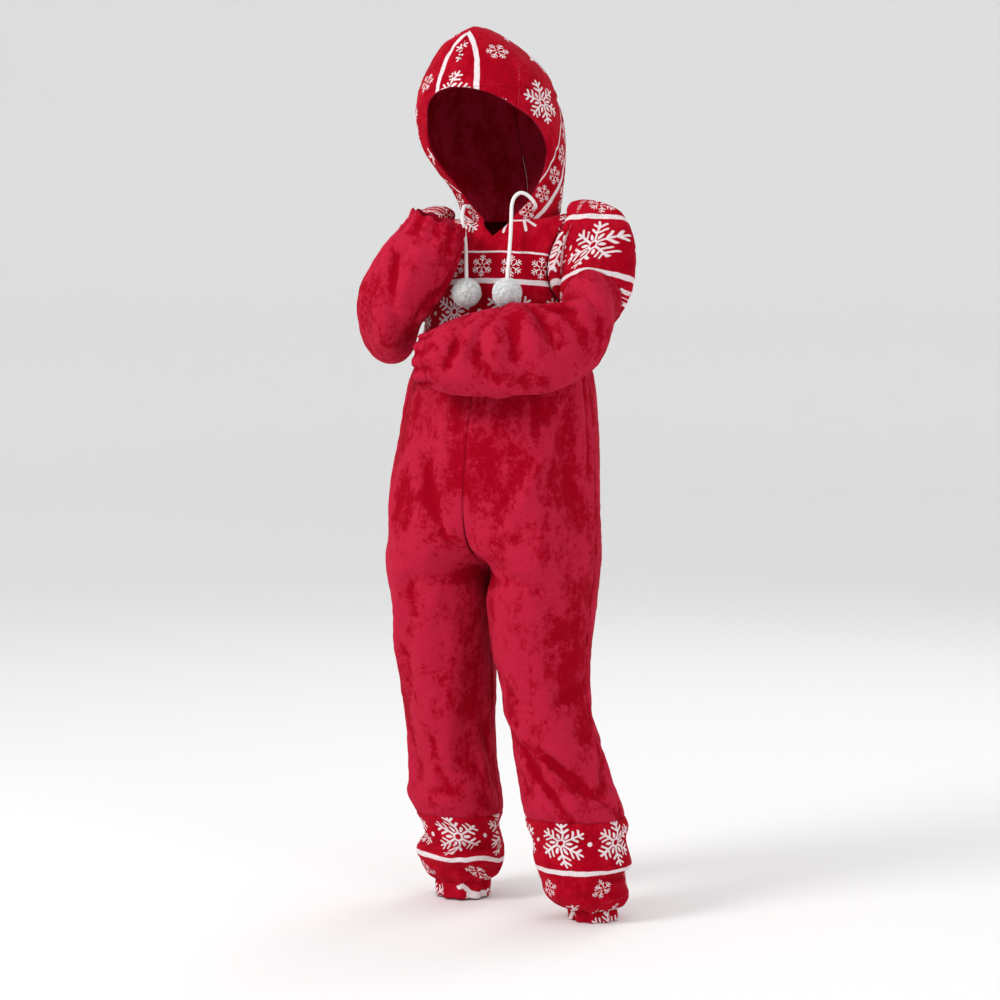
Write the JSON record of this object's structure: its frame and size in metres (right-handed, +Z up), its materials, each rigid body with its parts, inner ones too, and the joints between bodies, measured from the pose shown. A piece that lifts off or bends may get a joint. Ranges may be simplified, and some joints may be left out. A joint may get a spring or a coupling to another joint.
{
  "type": "onesie pajama",
  "caption": "Child's hooded one-piece fleece pyjama, worn with hood up and arms crossed, with winter-print yoke, sleeve tops and leg bands and a pompom drawstring.",
  "frame": {"origin": "middle of the neck seam, where the wearer's neck holds the garment", "axes": "+Z up along the wearer, the front faces -Y, the wearer's left side is +X"},
  "size_m": [0.3443, 0.2786, 1.1136],
  "materials": {
    "plain_fleece": "brushed fleece",
    "printed_fleece": "printed brushed fleece",
    "drawstring": "round knitted cord",
    "pompom": "cut yarn"
  },
  "bodies": {
    "root": {"front_yoke": "printed_fleece", "back_yoke": "printed_fleece", "front_left": "plain_fleece", "back_left": "plain_fleece", "sleeve_left": "plain_fleece", "cuff_left": "plain_fleece", "leg_band_left": "printed_fleece", "leg_hem_left": "printed_fleece", "sleeve_top_left": "printed_fleece", "hood_left": "printed_fleece", "cord_left": "drawstring", "pompom_left": "pompom", "front_right": "plain_fleece", "back_right": "plain_fleece", "sleeve_right": "plain_fleece", "cuff_right": "plain_fleece", "leg_band_right": "printed_fleece", "leg_hem_right": "printed_fleece", "sleeve_top_right": "printed_fleece", "hood_right": "printed_fleece", "cord_right": "drawstring", "pompom_right": "pompom"}
  },
  "joints": []
}
